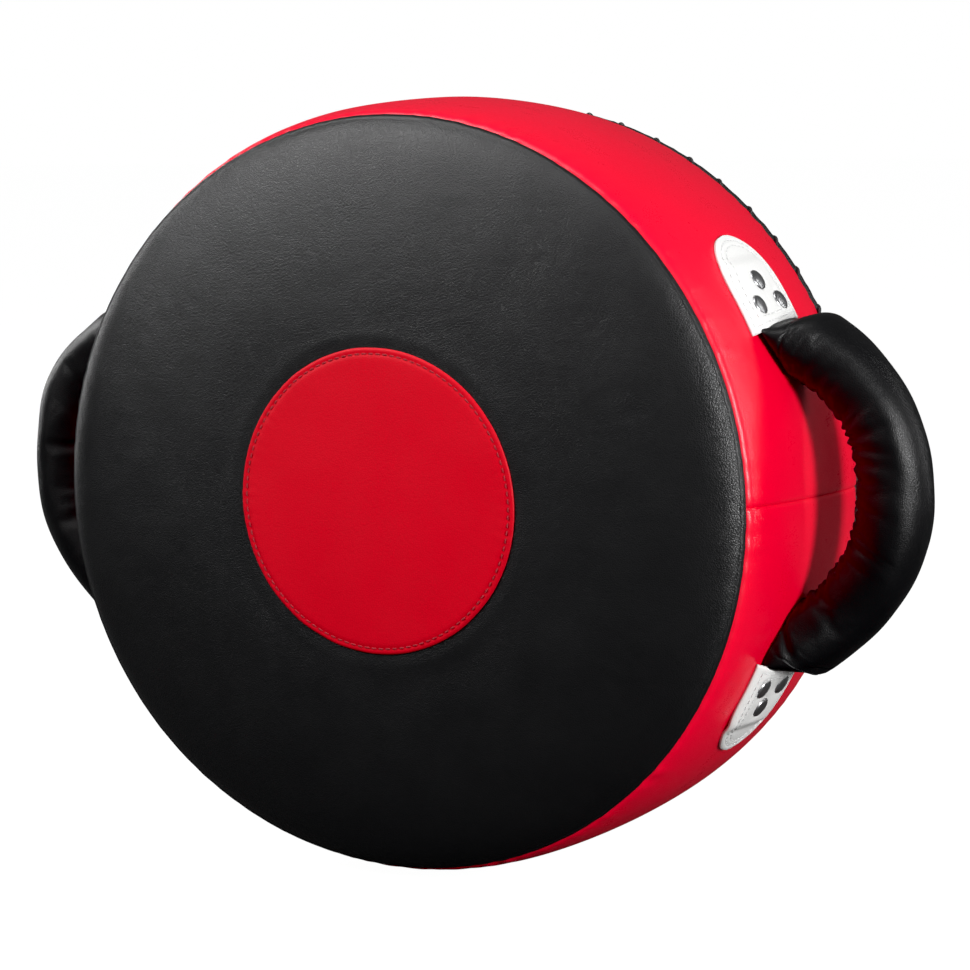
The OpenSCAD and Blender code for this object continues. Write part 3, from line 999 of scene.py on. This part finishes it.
def patch_leather(name, side, end, tree):
    # rows of points follow the arch outline, so that the edge is smooth
    rows = columns = 64
    row_past = (PATCH_L[end] - 0.05) * (1 - (1 - np.linspace(0, 1, rows)) ** 1.35)
    spread = (np.sin(np.linspace(-np.pi / 2, np.pi / 2, columns)) * 0.35
              + np.linspace(-1, 1, columns) * 0.65)
    past = np.repeat(row_past[:, None], columns, 1)
    forward = patch_half_width(row_past, end)[:, None] * spread[None, :]
    inside = from_patch_edge(past, forward, end)
    under = patch_underside(past, forward, end)
    top = under + 2.0 - 0.7 * (1 - clip01(inside / 1.6)) ** 2       # with its rolled edge
    for inset, pull in PATCH_STITCH_ROWS:
        top -= pull * bell(inside - inset, 0.7)
    for rivet_past, rivet_forward in RIVETS[end]:
        away = np.hypot(past - rivet_past, forward + PATCH_FORWARD[end] - rivet_forward)
        top -= 0.55 * bell(away, 7.5, power=4)
    top += (0.10 * np.sin(past / 6.1 + side + 2 * end) * np.sin(forward / 7.3 + end)
            * clip01(inside / 8))
    angle, depth = patch_place(side, end, past, forward)
    under = np.minimum(under, top - 0.6)
    verts = np.vstack([on_band(tree, angle, depth, height).reshape(-1, 3)
                       for height in (top, under)])
    count = rows * columns
    top_faces = grid_faces(rows, columns)
    under_faces = [[i + count for i in quad[::-1]] for quad in top_faces]
    index = np.arange(count).reshape(rows, columns)
    edge = np.concatenate([index[:, 0], index[-1, 1:], index[-2::-1, -1],
                           index[0, -2:0:-1]]).tolist()
    rim = [[i, k, k + count, i + count] for i, k in zip(edge, edge[1:] + edge[:1])]
    patch = new_object(f"patch_{name}_leather", verts, top_faces + under_faces + rim)
    align_normals(patch)
    fix_to_shield(patch, WHITE_LEATHER, replaces="patch_" + name)
    return patch


def patch_stitches(name, side, end, tree):
    """Two rows of stitches inside the outline."""
    pitch, thread_share = 3.9, 0.70
    parts = []
    for inset, _ in PATCH_STITCH_ROWS:
        past = np.linspace(inset, PATCH_L[end] - inset - 0.1, 200)
        half = patch_half_width(past, end, inset)
        path = np.concatenate([np.stack([past, half], -1),
                               np.stack([past[::-1], -half[::-1]], -1)[1:]])
        path = np.vstack([path, path[:1]])
        arc = arc_length(path)
        count = int(arc[-1] / pitch)
        for i in range(count):
            ends = [arc[-1] * i / count, arc[-1] * (i + thread_share) / count]
            angle, depth = patch_place(side, end, *along(path, arc, ends))
            parts.append(stitch(*on_band(tree, angle, depth), outward_at(angle)[0],
                                width=0.34, height=0.28, sink=-0.10))
    thread = new_object(f"patch_{name}_stitches", *join_parts(parts))
    fix_to_shield(thread, WHITE_THREAD)


RIVET_BASE = -0.6
# [radius, height over the patch]: the rim of a cap, then its dome
RIVET_PROFILE = ([(5.4, RIVET_BASE), (5.8, -0.15), (5.9, 0.1), (5.8, 0.35)]
                 + [(5.7 * math.cos(turn * math.pi / 2), 0.45 + 1.55 * math.sin(turn * math.pi / 2))
                    for turn in np.linspace(0.04, 1, 14)[:-1]])
RIVET_TOP = 0.45 + 1.55


def rivet_cap(centre, axis):
    sides = 48
    first = np.array([0, -1.0, 0])
    second = np.cross(axis, first)
    second /= np.linalg.norm(second)
    circle = hoop(first, second, sides)
    rings = [centre + axis * height + radius * circle for radius, height in RIVET_PROFILE]
    verts = np.vstack(rings + [centre + axis * RIVET_TOP, centre + axis * RIVET_BASE])
    hub, last = len(rings) * sides, (len(rings) - 1) * sides
    pairs = [(j, (j + 1) % sides) for j in range(sides)]
    faces = grid_faces(len(rings), sides, closed=True)
    faces += [[last + j, hub, last + k] for j, k in pairs]
    faces += [[k, j, hub + 1] for j, k in pairs]
    return verts, faces


def rivet_caps(name, side, end, tree):
    parts = []
    for past, forward in RIVETS[end]:
        angle, depth = patch_place(side, end, np.array([past]),
                                   np.array([forward - PATCH_FORWARD[end]]))
        parts.append(rivet_cap(on_band(tree, angle, depth)[0], outward_at(angle)[0]))
    caps = new_object(f"rivet_caps_{name}", *join_parts(parts))
    align_normals(caps)
    fix_to_shield(caps, RIVET_METAL, replaces="rivets_" + name)


def build_patch(side, end, band_tree):
    name = f"{SIDE_NAME[side]}_{END_NAME[end]}"
    tree = tree_of(patch_leather(name, side, end, band_tree))
    patch_stitches(name, side, end, tree)
    rivet_caps(name, side, end, tree)


# ---------------------------------------------------------------- the whole shield
face = build_face()
bands = [build_band(end) for end in (1, -1)]
build_back()
build_target(face)
build_lacing()
band_tree = tree_of(*bands)
for side in (1, -1):
    build_handle(side)
    for end in (1, -1):
        build_patch(side, end, band_tree)

# CAD pieces that stay, by the start of their name; the first match counts
CAD_MATERIALS = [("foam_core", GREY_FOAM), ("foam", PALE_FOAM), ("strap_end", STRAP_LEATHER),
                 ("backing", BOARD), ("washers", WASHER_METAL)]
for name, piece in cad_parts.items():
    for prefix, mat in CAD_MATERIALS:
        if name.startswith(prefix):
            paint(piece, mat)
            break


# ---------------------------------------------------------------- stage (metres from here on)
FLOOR_Z = -0.2070
FLOOR_HALF = 6


def floor_material():
    """Reads as plain white to the camera and throws a little light back up."""
    mat, shader, bsdf = new_material("studio_floor")
    seen = shader.add("LightPath").outputs["Is Camera Ray"]
    shader.feed(bsdf, {"Base Color": (0.08, 0.08, 0.08, 1), "Roughness": 0.95,
                       "Specular IOR Level": 0.0, "Emission Color": (1, 1, 1, 1),
                       "Emission Strength": shader.math("MULTIPLY", seen, 0.985)})
    return mat


def build_floor():
    mesh = bpy.data.meshes.new("studio_floor")
    corners = [(-1, -1), (1, -1), (1, 1), (-1, 1)]
    mesh.from_pydata([(x * FLOOR_HALF, y * FLOOR_HALF, FLOOR_Z) for x, y in corners], [],
                     [(0, 1, 2, 3)])
    floor = bpy.data.objects.new("studio_floor", mesh)
    bpy.context.scene.collection.objects.link(floor)
    paint(floor, floor_material())


def build_world():
    """White to the camera; to everything else a dim light that varies with height."""
    world = bpy.data.worlds.new("studio")
    bpy.context.scene.world = world
    world.use_nodes = True
    shader = Shader(world.node_tree)
    seen = shader.add("LightPath").outputs["Is Camera Ray"]
    incoming = shader.add("NewGeometry").outputs["Incoming"]
    height = shader.add("SeparateXYZ", {0: incoming}).outputs["Z"]
    sky = shader.add("MapRange", {"From Min": 0.1, "From Max": -0.9, "To Min": 0.05,
                                  "To Max": 0.14, "Value": height})
    strength = shader.add("Mix", data_type="FLOAT")
    shader.feed(strength, {"Factor": seen, "A": sky.outputs["Result"], "B": 1.0})
    shader.feed(world.node_tree.nodes["Background"],
                {"Strength": strength.outputs["Result"], "Color": (1, 1, 1, 1)})


LIGHT_TARGET = Vector((0, -0.09, 0))
# [name, degrees round from the front towards +X, degrees up, distance, width, height, watts]
LIGHTS = [
    ("key_left", -46, 33, 2.4, 1.0, 0.9, 46),
    ("crown_glow", -30, 60, 2.3, 1.0, 0.6, 22),
    ("side_right", 68, 8, 2.2, 0.40, 0.70, 50),
    ("strip_back_right", 126, 9, 2.0, 0.16, 1.7, 9),
    ("rim_left", -112, 16, 2.2, 0.4, 1.3, 11),
    ("front_fill", 38, 34, 3.0, 1.4, 1.0, 4),
    ("top", 25, 76, 2.3, 1.0, 1.0, 12)]


def add_light(name, azimuth, elevation, distance, width, height, watts):
    turn, rise = math.radians(azimuth), math.radians(elevation)
    place = LIGHT_TARGET + distance * Vector((
        math.sin(turn) * math.cos(rise), -math.cos(turn) * math.cos(rise), math.sin(rise)))
    data = bpy.data.lights.new(name, "AREA")
    data.shape = "RECTANGLE"
    data.size, data.size_y = width, height
    data.energy = watts
    light = bpy.data.objects.new(name, data)
    bpy.context.scene.collection.objects.link(light)
    light.location = place
    light.rotation_euler = (LIGHT_TARGET - place).to_track_quat("-Z", "Y").to_euler()


# The camera's right, up and backward axes in the world
CAMERA_AXES = np.array([[0.8852, 0.4637, -0.037],
                        [-0.0201, 0.1177, 0.9928],
                        [0.4647, -0.8781, 0.1135]])
# Where the centre of the face seam lies along those axes, from the camera
SEAM_FROM_CAMERA = np.array([-0.044457, -0.0054607, -2.9217587])
LENS = 204.12371134         # mm


def build_camera():
    data = bpy.data.cameras.new("camera")
    camera = bpy.data.objects.new("camera", data)
    bpy.context.scene.collection.objects.link(camera)
    # the nearest true rotation to the rounded axes
    left, _, right = np.linalg.svd(CAMERA_AXES)
    to_world = (left @ right).T
    pose = np.eye(4)
    pose[:3, :3] = to_world
    pose[:3, 3] = np.array([0, -FRONT_D * MM, 0]) - to_world @ SEAM_FROM_CAMERA
    camera.matrix_world = Matrix(pose.tolist())
    data.sensor_width = 36
    data.lens = LENS
    data.clip_end = 50
    bpy.context.scene.camera = camera


def set_view():
    view = bpy.context.scene.view_settings
    view.view_transform = "Standard"
    view.use_curve_mapping = True
    view.curve_mapping.black_level = (0.005, 0.005, 0.005)
    view.curve_mapping.update()


build_floor()
build_world()
for light in LIGHTS:
    add_light(*light)
build_camera()
set_view()

bpy.context.view_layer.update()
